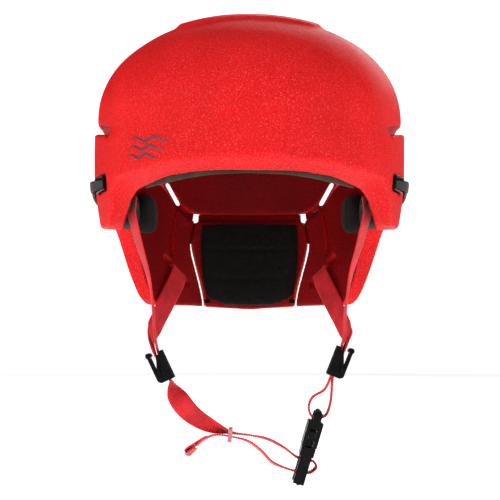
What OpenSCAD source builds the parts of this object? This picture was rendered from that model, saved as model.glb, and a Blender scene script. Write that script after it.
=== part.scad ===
// Water helmet: soft moulded dome with side panels, three rear flaps,
// an elastic fit band and a webbing harness with a side-release buckle.
// Millimetres. Front faces -Y, +Z is up. The origin is the middle of the head
// cavity at the level of the brow's lower edge.

/* [Shell] */
// Overall width of the side panels
shell_w = 226.4; // [220:1:232]
// Overall length of the side panels
shell_l = 276; // [270:1:282]
// Height of the crown above the brow line
crown_h = 126; // [122:1:130]
// Level at which the straight wall turns into the dome
dome_base = 52; // [50:1:54]
// Wall thickness at the side of the head
wall_side = 18; // [16:0.5:19]
// Wall thickness at the brow and the nape
wall_end = 16; // [14:0.5:17]
// Thickness that the wall loses towards the flaps' lower edge
wall_taper = 5; // [3:0.5:6]
// Height of the raised crown plate's step
crown_step = 2.4; // [1.5:0.1:3]

/* [Slots] */
// Height of the long separation slot
slot_h = 6.6; // [5:0.2:8]
// Gap beside the nape flap
slit_w = 3; // [2.6:0.1:3.6]
// Gap between the moving flaps and the side panels
seam = 0.5; // [0.4:0.1:0.8]
// Width of the diagonal webbing slots
web_slot = 5.4; // [5:0.1:6]

/* [Harness] */
// Width of the webbing
web_w = 15; // [14:0.5:16]
// Thickness of the webbing
web_t = 1.4; // [1.2:0.1:1.6]
// Thickness of the elastic band
band_t = 2; // [1.6:0.1:2.4]

/* [Buckle] */
// Length of the closed buckle
buckle_l = 56; // [54:1:58]
// Width of the buckle
buckle_w = 24; // [23:0.5:26]
// Thickness of the buckle
buckle_t = 11; // [10:0.5:12]

/* [Hidden] */
$fn = 32;

half_w = shell_w / 2;
half_l = shell_l / 2;
dome_h = crown_h - dome_base;
liner_base = dome_base - 7;
liner_h = crown_h - 20 - liner_base;
panel_proud = 0.02;
reach = 30;

red = [0.86, 0.03, 0.05];
webbing_red = [0.8, 0.05, 0.1];
black = [0.05, 0.04, 0.04];

// Azimuths run from 0 at the brow to 180 at the nape, and level is z.
// The lower edge of the wall, on its outer and on its inner face.
edge_out = [[0, 14.7], [16, 13.9], [30, 11.8], [40, 8], [48, 5.2], [54.5, 3.2], [56.5, -0.5],
    [58.3, -6.2], [60.5, -13], [62.3, -20], [64.9, -26], [67, -28], [75, -27.3], [95, -24.5],
    [107, -22], [109.5, -24], [112, -38], [115, -58], [118, -74], [122, -80], [150, -80.5],
    [180, -83]];
edge_in = [[0, 4.7], [16, 5], [28, 4.2], [36, 2.9], [44.5, -0.6], [49, -2], [53.5, -3.7],
    [59, -8.2], [64.5, -16.4], [69, -22], [72.4, -26], [75, -28], [95, -25], [107, -22.5],
    [109.5, -24.5], [112, -38.5], [115, -58.5], [118, -74.5], [122, -80.5], [150, -81],
    [180, -83.5]];
cols = [0, 8, 16, 24, 31, 37, 42, 46, 50, 53.5, 55.6, 57.7, 59.8, 61.9, 64.4, 67.2, 70.3, 73.4, 77,
    83, 91, 99, 104, 107, 109.5, 112, 115, 118, 122, 127, 133, 140, 148, 156, 164, 172, 180];
rounds = concat(cols, [for (i = [len(cols) - 2 : -1 : 1]) 360 - cols[i]]);

// Centre of the separation slot, as azimuth and level, from its front end to the nape
slot_line = [[60, 37.5], [66, 40.5], [74, 43.5], [84, 45.8], [94, 45.5], [103, 41.5],
    [112, 34], [121, 26], [129, 21], [136, 15.5], [141, 5], [145, -3], [150, -8.2],
    [156, -9.2], [165, -9.2], [181, -9.2]];
side_slot_line = [for (p = slot_line) if (p[0] < 149) p];
// Centre of the gap beside the nape flap, as x and z, and its slant as dx per dy
slit_line = [[40.5, 3], [43, -9], [47, -20], [48.6, -31], [46.5, -43], [43.8, -54], [41.5, -65],
    [40, -74], [39, -96]];
slit_slant = 0.19;
// Upper and lower end, as x and z, of the straight slot through the wall above each side flap
back_slot_ends = [[65.8, 16.4], [54.5, -4]];
back_slot_w = 2.8;
crease_line = [[143.4, -2], [141, -12], [139, -24], [137.4, -41]];
web_line = [[132.5, -41], [137, -48.7], [141.6, -56.4], [146.2, -64]];

function clamp01(v) = min(1, max(0, v));
function fold(az) = az > 180 ? 360 - az : az;
// How far the wall has leaned in below the brow line
function lean(z) = z > 12 ? 1 : 1 - 0.165 * pow((12 - z) / 95, 1.5);
// The panel below the separation slot stands a little proud of the dome above it
function tuck(az, z) = 1 - panel_proud * clamp01((fold(az) - 48) / 14)
    * clamp01((z - lookup(fold(az), slot_line)) / 6 + 0.5);
function thin(z) = wall_taper * clamp01(-z / 60);
function dome_r(f) = pow(cos(f), 0.93);
function dome_z(f) = pow(sin(f), 0.93);
function outer_wall(az, z) = [half_w * lean(z) * tuck(az, z) * sin(az),
    -half_l * lean(z) * tuck(az, z) * cos(az), z];
function outer_dome(az, f) = [half_w * dome_r(f) * tuck(az, dome_base) * sin(az),
    -half_l * dome_r(f) * tuck(az, dome_base) * cos(az), dome_base + dome_h * dome_z(f)];
function inner_wall(az, z) = [(half_w * lean(z) - wall_side + thin(z)) * sin(az),
    -(half_l * lean(z) - wall_end + thin(z)) * cos(az), z];
function inner_dome(az, f) = [(half_w - wall_side) * dome_r(f) * sin(az),
    -(half_l - wall_end) * dome_r(f) * cos(az), liner_base + liner_h * dome_z(f)];
// A point at a depth below the outer face, 0 outside to 1 inside, or beyond
function depth(az, z, d) = outer_wall(az, z) * (1 - d) + inner_wall(az, z) * d;

function unit(v) = v / norm(v);

// One closed skin between the outer and the inner face of the wall
module wall_skin() {
    wall_rows = [0, 0.12, 0.3, 0.5, 0.68, 0.84, 1];
    dome_rows = [9, 18, 27, 37, 48, 60, 73];
    n = len(rounds);
    outer = concat(
        [for (t = wall_rows) for (az = rounds) let (low = lookup(fold(az), edge_out))
            outer_wall(az, low + (dome_base - low) * t)],
        [for (f = dome_rows) for (az = rounds) outer_dome(az, f)]);
    inner = concat(
        [for (t = wall_rows) for (az = rounds) let (low = lookup(fold(az), edge_in))
            inner_wall(az, low + (liner_base - low) * t)],
        [for (f = dome_rows) for (az = rounds) inner_dome(az, f)]);
    rings = len(wall_rows) + len(dome_rows);
    apex = len(outer) + len(inner);
    function o(r, c) = r * n + c % n;
    function i(r, c) = len(outer) + r * n + c % n;
    polyhedron(
        points = concat(outer, inner, [[0, 0, crown_h], [0, 0, liner_base + liner_h]]),
        faces = concat(
            [for (r = [0 : rings - 2]) for (c = [0 : n - 1]) each
                [[o(r, c), o(r + 1, c), o(r + 1, c + 1)], [o(r, c), o(r + 1, c + 1), o(r, c + 1)]]],
            [for (r = [0 : rings - 2]) for (c = [0 : n - 1]) each
                [[i(r, c), i(r + 1, c + 1), i(r + 1, c)], [i(r, c), i(r, c + 1), i(r + 1, c + 1)]]],
            [for (c = [0 : n - 1]) each
                [[o(0, c), o(0, c + 1), i(0, c + 1)], [o(0, c), i(0, c + 1), i(0, c)]]],
            [for (c = [0 : n - 1]) [o(rings - 1, c), apex, o(rings - 1, c + 1)]],
            [for (c = [0 : n - 1]) [i(rings - 1, c), i(rings - 1, c + 1), apex + 1]]));
}

// A tube with four corners per station, closed at both ends
module four_sided(corners) {
    n = len(corners) / 4;
    polyhedron(points = corners, faces = concat(
        [[3, 2, 1, 0]],
        [for (s = [0 : n - 2]) for (k = [0 : 3]) each
            [[4 * s + k, 4 * s + 4 + (k + 1) % 4, 4 * s + 4 + k],
             [4 * s + k, 4 * s + (k + 1) % 4, 4 * s + 4 + (k + 1) % 4]]],
        [[4 * n - 4, 4 * n - 3, 4 * n - 2, 4 * n - 1]]));
}

// A blade that follows a line of azimuths and levels through the wall.
// low and high are the edges' distances from the line, d0 and d1 its depths.
module blade(line, low, high, d0, d1) {
    last = len(line) - 1;
    mm_per_deg = 2.1;
    four_sided([for (k = [0 : last])
        let (a = line[max(0, k - 1)], b = line[min(last, k + 1)], p = line[k],
            along = unit([(b[0] - a[0]) * mm_per_deg, b[1] - a[1], 0]),
            lo = [p[0] + along[1] * low / mm_per_deg, p[1] - along[0] * low],
            hi = [p[0] - along[1] * high / mm_per_deg, p[1] + along[0] * high])
        each [depth(lo[0], lo[1], d0), depth(hi[0], hi[1], d0),
              depth(hi[0], hi[1], d1), depth(lo[0], lo[1], d1)]]);
}

module both_sides() {
    children();
    mirror([1, 0, 0]) children();
}

// The region of the wall behind the side panels and below the separation slot
module flap_region(grow) {
    front_az = 108.5 - grow / 2.1;
    steps = [front_az, 110.3, 114.4, 119.1, 124.7, 131.3, 138.1, 142.9, 147.3, 152.4, 158.7];
    four_sided([for (az = steps) let (top = lookup(az, slot_line) + grow)
        each [depth(az, -95, -1), depth(az, top, -1), depth(az, top, 2), depth(az, -95, 2)]]);
}

module nape_region(grow) {
    steps = [for (k = [-4 : 4]) 180 + k * (180 - 148 + grow / 2.1) / 4];
    four_sided([for (az = steps)
        each [depth(az, -95, -1), depth(az, -9.2 + grow, -1), depth(az, -9.2 + grow, 2),
              depth(az, -95, 2)]]);
}

module crown_plate() {
    plate_w = 104;
    plate_l = 190;
    corner = 26;
    set_back = 18;
    plate_foot = dome_base + 40;
    intersection() {
        translate([0, 0, crown_step]) wall_skin();
        translate([corner - plate_w / 2, corner + set_back - plate_l / 2, plate_foot])
            linear_extrude(crown_h) offset(corner)
                square([plate_w - 2 * corner, plate_l - 2 * corner]);
    }
}

// Meshing a whole cut wall at once keeps its faces watertight
module as_one_mesh() {
    resize([0, 0, 0]) children();
}

module nape_gap() {
    line = [for (p = slot_line) if (p[0] > 144) p];
    both_sides() blade(line, slot_h / 2, slot_h / 2, -1, 2);
}

// A block of the wall, or of what lines it, between two azimuths.
// stations are [azimuth, low level, high level, outer depth, inner depth].
module wall_block(stations) {
    four_sided([for (s = stations) each [depth(s[0], s[1], s[3]), depth(s[0], s[2], s[3]),
        depth(s[0], s[2], s[4]), depth(s[0], s[1], s[4])]]);
}

module crown_shell() {
    color(red) as_one_mesh() difference() {
        union() {
            wall_skin();
            crown_plate();
        }
        both_sides() blade(side_slot_line, slot_h / 2, slot_h / 2, -1, 2);
        both_sides() flap_region(0);
        nape_region(0);
        nape_gap();
        both_sides() eyelet_outline(0.5);
        both_sides() back_slot();
    }
}

// The thin outer lip that closes the slot towards the nape
module slot_lip(stops) {
    wall_block([for (az = stops) let (mid = lookup(fold(az), slot_line))
        [az, mid - slot_h / 2 - 6, mid + slot_h / 2 - 2 * seam, 0.06, 0.3]]);
}

// Everything from a plane at that x to one side of the gap beside the nape flap
module slit_block(x_far, shift) {
    front_y = 50;
    back_y = 170;
    mid_y = 112;
    line = x_far < slit_line[0][0] ? slit_line
        : [for (i = [len(slit_line) - 1 : -1 : 0]) slit_line[i]];
    function edge(p, y) = [p[0] + shift + slit_slant * (y - mid_y), y, p[1]];
    four_sided([for (p = line) each [[x_far, front_y, p[1]], edge(p, front_y), edge(p, back_y),
        [x_far, back_y, p[1]]]]);
}

// The straight slot, which runs back and slightly up and out
module back_slot() {
    function corner(p, dx, y) = [p[0] + dx + 0.056 * (y - 75), y, p[1] + 0.085 * (y - 75)];
    four_sided([for (p = back_slot_ends) each [corner(p, -back_slot_w / 2, 45),
        corner(p, back_slot_w / 2, 45), corner(p, back_slot_w / 2, 175),
        corner(p, -back_slot_w / 2, 175)]]);
}

module side_flap() {
    color(red) as_one_mesh() difference() {
        union() {
            intersection() {
                difference() {
                    wall_skin();
                    blade(side_slot_line, slot_h / 2, slot_h / 2 + reach, -1, 2);
                    blade(web_line, web_slot / 2, web_slot / 2, -1, 2);
                    blade(crease_line, 1, 1, 0.6, 2);
                    nape_gap();
                }
                flap_region(-seam);
            }
            slot_lip([143.6 : 2.9 : 158.1]);
        }
        slit_block(-5, slit_w / 2);
        back_slot();
    }
}

module rear_flap_left() {
    mirror([1, 0, 0]) side_flap();
}

module rear_flap_right() {
    side_flap();
}

module rear_flap_center() {
    color(red) as_one_mesh() difference() {
        union() {
            intersection() {
                wall_skin();
                nape_region(-seam - slot_h / 2 - 0.01);
            }
            slot_lip([157 : 4.6 : 203]);
        }
        both_sides() slit_block(75, -slit_w / 2);
    }
}

// Lining and pads

module brow_liner() {
    hang = [[0, 0.3], [16, 1.4], [27, 2.5], [36, 3.6], [45, 2.1], [50, 1.2]];
    color([0.3, 0.27, 0.2]) as_one_mesh() wall_block([for (az = [-50 : 5 : 50])
        let (low = lookup(abs(az), edge_in) - lookup(abs(az), hang))
        [az, low, max(low + 5, 14), 1.03, 1.26]]);
}

module temple_pad() {
    bulge = [[82, 0.5], [86, 0.95], [96, 1], [103, 0.95], [107, 0.7]];
    color(black) as_one_mesh() wall_block([for (az = [82 : 2.5 : 107])
        [az, -21 - 3 * lookup(az, bulge), -1 + 5 * lookup(az, bulge), 1.03,
         1.06 + 0.5 * lookup(az, bulge)]]);
}

module side_pad() {
    bulge = [[110, 0.8], [113, 1], [119, 0.95], [124, 0.6], [127, 0.25]];
    color(black) as_one_mesh() wall_block([for (az = [110 : 1.7 : 127])
        [az, -22 - 3 * lookup(az, bulge), 1 + 4 * lookup(az, bulge), 1.03,
         1.08 + 0.48 * lookup(az, bulge)]]);
}

module temple_pad_left() {
    mirror([1, 0, 0]) temple_pad();
}

module temple_pad_right() {
    temple_pad();
}

module side_pad_left() {
    mirror([1, 0, 0]) side_pad();
}

module side_pad_right() {
    side_pad();
}

module rear_pad() {
    color(black) as_one_mesh() wall_block([for (az = [155 : 5 : 205])
        let (edge = abs(az - 180) / 25, top = -13.8 - 2 * pow(edge, 4))
        [az, -80 + 10 * pow(edge, 4), top, 1.04, 1.5 - 0.2 * edge * edge]]);
}

module nape_tab() {
    color(black) as_one_mesh() wall_block([for (az = [154 : 0.9 : 157.6])
        [az, -79, -75.4, 1.05, 1.32]]);
}

module nape_tab_left() {
    mirror([1, 0, 0]) nape_tab();
}

module nape_tab_right() {
    nape_tab();
}

// Fit band

eyelet_line = [[62.6, 3.9], [66, 3.6], [70, 3.2], [74, 2.8]];
eyelet_half = 5.3;

module eyelet_outline(grow) {
    line = concat([eyelet_line[0] - [0.3, 0]], [eyelet_line[1], eyelet_line[2]],
        [eyelet_line[3] + [0.3, 0]]);
    blade(line, eyelet_half + grow, eyelet_half + grow, -0.3, 1.4);
}

module eyelet() {
    hole_line = [[63.6, 3.8], [66, 3.6], [70, 3.2], [73.2, 2.9]];
    hole_half = 3.9;
    color(black) as_one_mesh() difference() {
        blade(eyelet_line, eyelet_half, eyelet_half, -0.1, 1.08);
        blade(hole_line, hole_half, hole_half, -1, 2);
    }
}

module temple_eyelet_left() {
    mirror([1, 0, 0]) eyelet();
}

module temple_eyelet_right() {
    eyelet();
}

// The band's middle level, its half height and how far its inner face stands off
band_level = [[64, 3.8], [70, 3.2], [76, 2.6], [85, 1], [100, -3], [115, -8.5], [130, -14],
    [145, -19], [160, -22.5], [180, -24]];
band_half = [[64, 3.3], [78, 3.8], [100, 5.6], [130, 8.5], [180, 9.5]];
band_depth = [[64, 0.75], [67, 0.45], [70.5, 0.12], [73, -0.14], [76, -0.16], [80, -0.06],
    [86, -0.04], [180, -0.04]];

module rear_band() {
    stops = [64.4, 67, 70.5, 72.6, 74.5, 77, 80, 86, 93, 100, 107, 114, 121, 128, 136, 144, 152,
        160, 170, 180];
    around = concat(stops, [for (i = [len(stops) - 2 : -1 : 0]) 360 - stops[i]]);
    thick = band_t / wall_side;
    color([0.12, 0.11, 0.11]) as_one_mesh() wall_block([for (az = around)
        let (a = fold(az), mid = lookup(a, band_level), half = lookup(a, band_half),
            d = lookup(a, band_depth))
        [az, mid - half, mid + half, d - thick, d]]);
}

module band_slider() {
    slider_w = 20;
    slider_h = 26;
    bar = 2.8;
    wall_lean = -12.6;
    color(black) translate([0, 132.8, -24]) rotate([wall_lean, 0, 0]) difference() {
        translate([-slider_w / 2, 0.5, -slider_h / 2]) cube([slider_w, 4, slider_h]);
        translate([-slider_w, -1, bar - slider_h / 2])
            cube([2 * slider_w, 3.8, slider_h - 2 * bar]);
    }
}

// Webbing. A station is a centre and a direction across the width.

function spline(p0, p1, p2, p3, t) = 0.5 * (2 * p1 + (p2 - p0) * t
    + (2 * p0 - 5 * p1 + 4 * p2 - p3) * t * t + (3 * p1 - p0 - 3 * p2 + p3) * t * t * t);
function smooth_run(p, n) = let (m = len(p) - 1) concat(
    [for (i = [0 : m - 1]) for (k = [0 : n - 1])
        spline(p[max(0, i - 1)], p[i], p[i + 1], p[min(m, i + 2)], k / n)], [p[m]]);
function head3(v) = [v[0], v[1], v[2]];
function tail3(v) = unit([v[3], v[4], v[5]]);

module webbing(stations, n = 4) {
    run = smooth_run(stations, n);
    m = len(run) - 1;
    as_one_mesh() four_sided([for (i = [0 : m])
        let (c = head3(run[i]),
            along = unit(head3(run[min(m, i + 1)]) - head3(run[max(0, i - 1)])),
            raw = tail3(run[i]),
            across = unit(raw - along * (raw * along)),
            face = cross(along, across),
            w = across * web_w / 2, f = face * web_t / 2)
        each [c - w - f, c - w + f, c + w + f, c + w - f]]);
}

// A spot in an adjuster, on the +x half: x across its thickness and z along it
adjuster_left = [64.8, -125, 25.3];
adjuster_right = [65.9, -121.8, 21.5];
function spot(a, x, z) = [a[0] - x * cos(a[2]) + z * sin(a[2]), -10,
    a[1] + x * sin(a[2]) + z * cos(a[2]), 0, 1, 0];

// The rear webbing meets the adjuster turned over
function turned(p) = [p[0], p[1], p[2], 0, -1, 0];

front_run = [[82.5, -41, -3, 0.42, 0.9, 0], [83.3, -39.2, -10, 0.42, 0.9, 0],
    [83.6, -37.6, -17, 0.42, 0.9, 0], [79.3, -31, -36, 0.36, 0.93, 0],
    [73, -22, -60, 0.2, 0.98, 0], [69.8, -15, -82, 0, 1, 0], [69, -11, -100, 0, 1, 0]];
rear_run = [[67.3, 95.5, -52.5, 0.64, -0.39, 0.66], [57.5, 85.8, -52.8, 0.64, -0.39, 0.66],
    [55.5, 82, -54.5, 0.64, -0.39, 0.66], [57.5, 74, -62, 0.7, -0.3, 0.55],
    [64, 60, -77, 0.75, -0.5, 0.35], [70.6, 40, -94, 0.45, -0.85, 0.2],
    [73, 14, -103, 0.1, -1, 0.1]];

module front_strap_left() {
    color(webbing_red) mirror([1, 0, 0]) webbing(concat(front_run,
        [spot(adjuster_left, 2.9, 10), spot(adjuster_left, 2.6, 0)]));
}

module front_strap_right() {
    color(webbing_red) webbing(concat(front_run,
        [spot(adjuster_right, 2.9, 10), spot(adjuster_right, 2.6, 0)]));
}

module rear_strap_left() {
    color(webbing_red) mirror([1, 0, 0]) webbing(concat(rear_run,
        [turned(spot(adjuster_left, 0.2, 12)), turned(spot(adjuster_left, 0.5, 0))]));
}

module rear_strap_right() {
    color(webbing_red) webbing(concat(rear_run,
        [turned(spot(adjuster_right, 0.2, 12)), turned(spot(adjuster_right, 0.5, 0))]));
}

module front_anchor() {
    color([0.75, 0.74, 0.72]) translate([83.3, -39.2, -10]) rotate([0, 0, -25]) rotate([0, 90, 0]) {
        translate([0, 0, -3.2]) cylinder(r = 4, h = 2.1);
        translate([0, 0, 1.1]) cylinder(r = 4, h = 3.2);
    }
}

module front_anchor_left() {
    mirror([1, 0, 0]) front_anchor();
}

module front_anchor_right() {
    front_anchor();
}

module rear_anchor() {
    color(black) translate([69.2, 97.35, -52.5]) rotate([0, 0, -42]) rotate([0, 48, 0])
        cube([7, 3, 18], center = true);
}

module rear_anchor_left() {
    mirror([1, 0, 0]) rear_anchor();
}

module rear_anchor_right() {
    rear_anchor();
}

// Strap adjusters, each in its own frame: z is the long way, x the thickness with
// the lever on the -x side, and y the webbing's width.

module place_adjuster(a) {
    translate([a[0], -10, a[1]]) mirror([1, 0, 0]) rotate([0, -a[2], 0]) children();
}

module place_adjuster_left() {
    mirror([1, 0, 0]) place_adjuster(adjuster_left) children();
}

module place_adjuster_right() {
    place_adjuster(adjuster_right) children();
}

pin_r = 1.3;
pin_x = -2.4;
pin_z = -9;
cheek_y = 9.4;

module adjuster_frame() {
    cheek_t = 2.2;
    color(black) difference() {
        union() {
            translate([3.8, -cheek_y - cheek_t, -12]) cube([2.2, 2 * (cheek_y + cheek_t), 22]);
            for (side = [-1, 1]) translate([0, side * (cheek_y + cheek_t / 2), 0])
                rotate([90, 0, 0]) linear_extrude(cheek_t, center = true)
                    polygon([[4.5, -12], [4.5, 8], [1, 8], [-4.6, -6], [-4.6, -11], [-3.4, -12]]);
        }
        translate([pin_x, 0, pin_z]) rotate([90, 0, 0]) cylinder(r = pin_r, h = 40, center = true);
        for (z = [-5, 0, 5]) translate([6.2, 0, z]) cube([1, 12, 1.6], center = true);
    }
}

module adjuster_lever() {
    lever_w = 2 * cheek_y - 0.6;
    color(black) difference() {
        union() {
            translate([-6, -lever_w / 2, -8.6]) cube([2, lever_w, 20.4]);
            translate([-4.6, 0, 9.6]) rotate([90, 0, 0])
                cylinder(r = 2.1, h = lever_w, center = true);
            translate([pin_x - 0.9, 0, pin_z]) rotate([90, 0, 0])
                cylinder(r = 2.7, h = lever_w, center = true);
        }
        translate([pin_x, 0, pin_z]) rotate([90, 0, 0])
            cylinder(r = pin_r + 0.05, h = 40, center = true);
    }
}

module adjuster_pin() {
    color([0.6, 0.6, 0.6]) translate([pin_x, 0, pin_z]) rotate([90, 0, 0])
        cylinder(r = pin_r, h = 2 * (cheek_y + 2.2), center = true);
}

module adjuster_frame_left() {
    place_adjuster_left() adjuster_frame();
}

module adjuster_frame_right() {
    place_adjuster_right() adjuster_frame();
}

module adjuster_lever_left() {
    place_adjuster_left() adjuster_lever();
}

module adjuster_lever_right() {
    place_adjuster_right() adjuster_lever();
}

module adjuster_pin_left() {
    place_adjuster_left() adjuster_pin();
}

module adjuster_pin_right() {
    place_adjuster_right() adjuster_pin();
}

// Side-release buckle in its own frame: z runs up the buckle from its middle,
// y is the webbing's width and x the thickness.

module place_buckle() {
    translate([42.6, -10, -183.5]) rotate([0, 16.7, 0]) children();
}

bar_r = 2;
rail_y = 8.8;
latch_y = 6.4;
latch_t = 2.2;
half_t = buckle_t / 2;
half_w_buckle = buckle_w / 2;
top_z = buckle_l / 2;
housing_top = 19;

module rounded_bar(length) {
    rotate([90, 0, 0]) cylinder(r = bar_r, h = length, center = true);
}

module buckle_female() {
    mouth_y = 9.3;
    mouth_x = 3;
    color(black) place_buckle() difference() {
        union() {
            translate([-half_t, -half_w_buckle, 0.4]) cube([buckle_t, buckle_w, housing_top - 0.4]);
            for (side = [-1, 1])
                translate([-3, side * (rail_y + 1.6) - 1.6, housing_top]) cube([6, 3.2, 7]);
            translate([0, 0, top_z - bar_r]) rounded_bar(2 * rail_y + 6.4);
        }
        translate([-mouth_x, -mouth_y, 0]) cube([2 * mouth_x, 2 * mouth_y, 16.5]);
        translate([-mouth_x + 0.2, -buckle_w, 0]) cube([2 * mouth_x - 0.4, 2 * buckle_w, 13.5]);
    }
}

module buckle_male() {
    color(black) place_buckle() {
        translate([-half_t + 0.4, -half_w_buckle, -6.4]) cube([buckle_t - 0.8, buckle_w, 6.4]);
        translate([-2.4, -2.4, -0.5]) cube([4.8, 4.8, 15]);
        for (side = [-1, 1])
            translate([-4, side * (rail_y + 1.6) - 1.6, -top_z + 1]) cube([8, 3.2, top_z - 6.9]);
        for (z = [-14.5, -top_z + bar_r])
            translate([0, 0, z]) rounded_bar(2 * rail_y + 0.4);
    }
}

module buckle_latch(side) {
    color(black) place_buckle() translate([0, side * latch_y, 0]) {
        translate([-2.4, -latch_t / 2, 0.3]) cube([4.8, latch_t, 11.8]);
        translate([-2.4, side > 0 ? 0 : -5, 5.5]) cube([4.8, 5, 6.6]);
    }
}

module buckle_latch_a() {
    buckle_latch(-1);
}

module buckle_latch_b() {
    buckle_latch(1);
}

// Chin webbing

chin_run = [[-56.5, -10, -137.2, 0.1, 1, 0.1], [-54.5, -10.5, -143, 0.6, 0.8, 0.3],
    [-50, -11, -150.5, 0.85, 0.2, 0.6], [-40.5, -11, -160.5, 0.7, -0.5, 0.6],
    [-28, -10.5, -168.6, 0.3, -0.9, 0.5], [-14, -10, -173.2, 0, -1, 0.12],
    [0, -10, -175.2, 0, -1, 0], [13, -10, -178, 0, -1, 0], [25, -10, -184.2, 0, -1, 0],
    [33.6, -10, -190.6, 0, -1, 0], [39.5, -10, -192.4, 0, -1, 0], [46, -10, -194, 0, -1, 0],
    [48.2, -10, -198.2, 0, -1, 0], [43.5, -10, -202, 0, -1, 0], [36, -10, -201.6, 0, -1, 0],
    [28, -10, -199.6, 0, -1, 0], [16.8, -10, -195, 0, -1, 0.05], [8.5, -10, -186.6, 0, -1, 0.1],
    [-1, -10, -179.6, 0, -1, 0.05], [-12.5, -10, -176.4, 0, -1, 0]];
tail_run = [[-12.9, -10, -176.3, 0, -1, 0], [-24, -10, -175, 0, -1, 0.1],
    [-32.5, -10, -178, 0, -1, 0.15], [-38.3, -10, -182.7, 0, -1, 0.15]];
loop_run = [[54.2, -10, -142.4, 0, 1, 0], [46, -10, -147.6, 0, 1, 0],
    [43, -10, -154.5, 0, 1, 0], [44.8, -10, -161, 0, 1, 0], [50, -10, -162.3, 0, 1, 0],
    [55.6, -10, -160.4, 0, 1, 0], [59, -10, -150, 0, 1, 0]];

module chin_strap() {
    color(webbing_red) webbing(chin_run, 3);
}

module chin_strap_tail() {
    color(webbing_red) webbing(tail_run);
}

module strap_end_fold() {
    color(webbing_red) translate([-41.6, -10, -185.6]) rotate([0, -50, 0])
        cube([7.6, web_w + 0.6, 4.6], center = true);
}

module chin_loop_right() {
    color(webbing_red) webbing(concat([spot(adjuster_right, 2.4, -4), spot(adjuster_right, 2.3, -14)],
        loop_run, [spot(adjuster_right, 0.5, -13), spot(adjuster_right, 0.7, -4)]), 3);
}

module keeper_ring() {
    ring_w = 3;
    color([0.85, 0.35, 0.4]) translate([-14, -10, -174.9]) rotate([0, 96, 0]) difference() {
        cube([9.8, web_w + 4, ring_w], center = true);
        cube([7.6, web_w + 1, ring_w + 2], center = true);
    }
}

crown_shell();
rear_flap_left();
rear_flap_right();
rear_flap_center();
brow_liner();
temple_pad_left();
temple_pad_right();
side_pad_left();
side_pad_right();
rear_pad();
nape_tab_left();
nape_tab_right();
temple_eyelet_left();
temple_eyelet_right();
rear_band();
band_slider();
front_strap_left();
front_strap_right();
front_anchor_left();
front_anchor_right();
rear_strap_left();
rear_strap_right();
rear_anchor_left();
rear_anchor_right();
adjuster_frame_left();
adjuster_frame_right();
adjuster_lever_left();
adjuster_lever_right();
adjuster_pin_left();
adjuster_pin_right();
chin_strap();
chin_strap_tail();
strap_end_fold();
keeper_ring();
chin_loop_right();
buckle_female();
buckle_male();
buckle_latch_a();
buckle_latch_b();
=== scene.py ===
"""Looks of the water helmet: moulded foam, pads, webbing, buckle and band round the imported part."""
import math

import bmesh
import bpy
import numpy as np
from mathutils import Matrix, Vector, noise


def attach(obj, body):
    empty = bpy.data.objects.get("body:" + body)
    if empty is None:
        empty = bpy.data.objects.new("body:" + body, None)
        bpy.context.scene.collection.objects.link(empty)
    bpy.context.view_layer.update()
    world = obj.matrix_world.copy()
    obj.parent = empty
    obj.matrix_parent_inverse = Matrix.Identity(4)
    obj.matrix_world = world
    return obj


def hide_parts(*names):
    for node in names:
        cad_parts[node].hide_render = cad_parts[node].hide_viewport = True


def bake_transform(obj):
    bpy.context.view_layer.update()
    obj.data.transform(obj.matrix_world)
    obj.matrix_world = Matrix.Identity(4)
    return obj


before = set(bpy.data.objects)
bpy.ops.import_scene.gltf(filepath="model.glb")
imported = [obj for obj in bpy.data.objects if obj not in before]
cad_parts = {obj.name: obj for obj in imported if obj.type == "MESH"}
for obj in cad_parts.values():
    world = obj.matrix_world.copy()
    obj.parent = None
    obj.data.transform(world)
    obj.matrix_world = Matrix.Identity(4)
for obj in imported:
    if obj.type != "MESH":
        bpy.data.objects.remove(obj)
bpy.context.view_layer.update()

MM = 0.001

# ---------------------------------------------------------------- camera

EYE = (0.0004, -1.1, -0.092)
LOOKS_AT = (0.0004, 0.0, -0.0405)
LENS = 107.8


def make_camera():
    data = bpy.data.cameras.new("camera")
    data.lens = LENS
    data.sensor_width = 36
    camera = bpy.data.objects.new("camera", data)
    camera.location = EYE
    gaze = Vector(LOOKS_AT) - Vector(EYE)
    camera.rotation_euler = gaze.to_track_quat("-Z", "Y").to_euler()
    bpy.context.collection.objects.link(camera)
    bpy.context.scene.camera = camera


make_camera()

# ---------------------------------------------------------------- materials


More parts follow.
